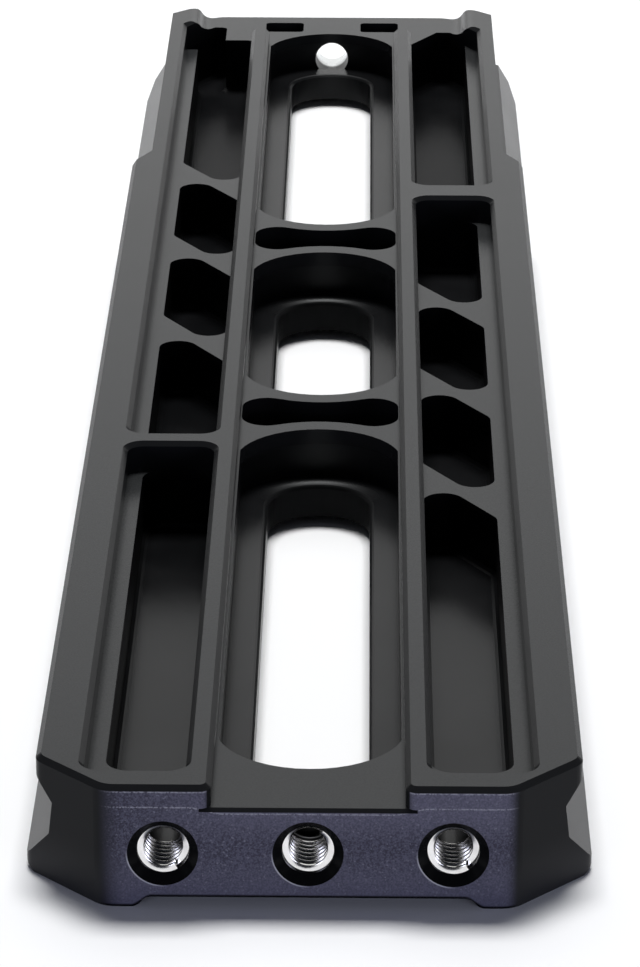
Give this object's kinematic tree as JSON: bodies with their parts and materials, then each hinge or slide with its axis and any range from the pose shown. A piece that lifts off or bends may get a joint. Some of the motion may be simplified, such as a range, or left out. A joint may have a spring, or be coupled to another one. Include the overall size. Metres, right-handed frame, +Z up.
{
  "type": "camera base plate",
  "caption": "Long milled aluminium camera base plate with clamping grooves along both sides, screw slots in a middle channel, weight-saving side pockets and threaded end holes.",
  "frame": {"origin": "middle of the underside, on the plane the plate lies on", "axes": "+X across the plate to the right in the picture, +Y along the plate away from the end with the thread inserts, +Z up through the pocketed face"},
  "size_m": [0.0476, 0.236, 0.011],
  "materials": {
    "anodised": "bead-blasted and anodised dark grey",
    "wire": "bright stainless wire"
  },
  "bodies": {
    "root": {"base_plate": "anodised", "insert_left": "wire", "insert_middle": "wire", "insert_right": "wire"}
  },
  "joints": []
}
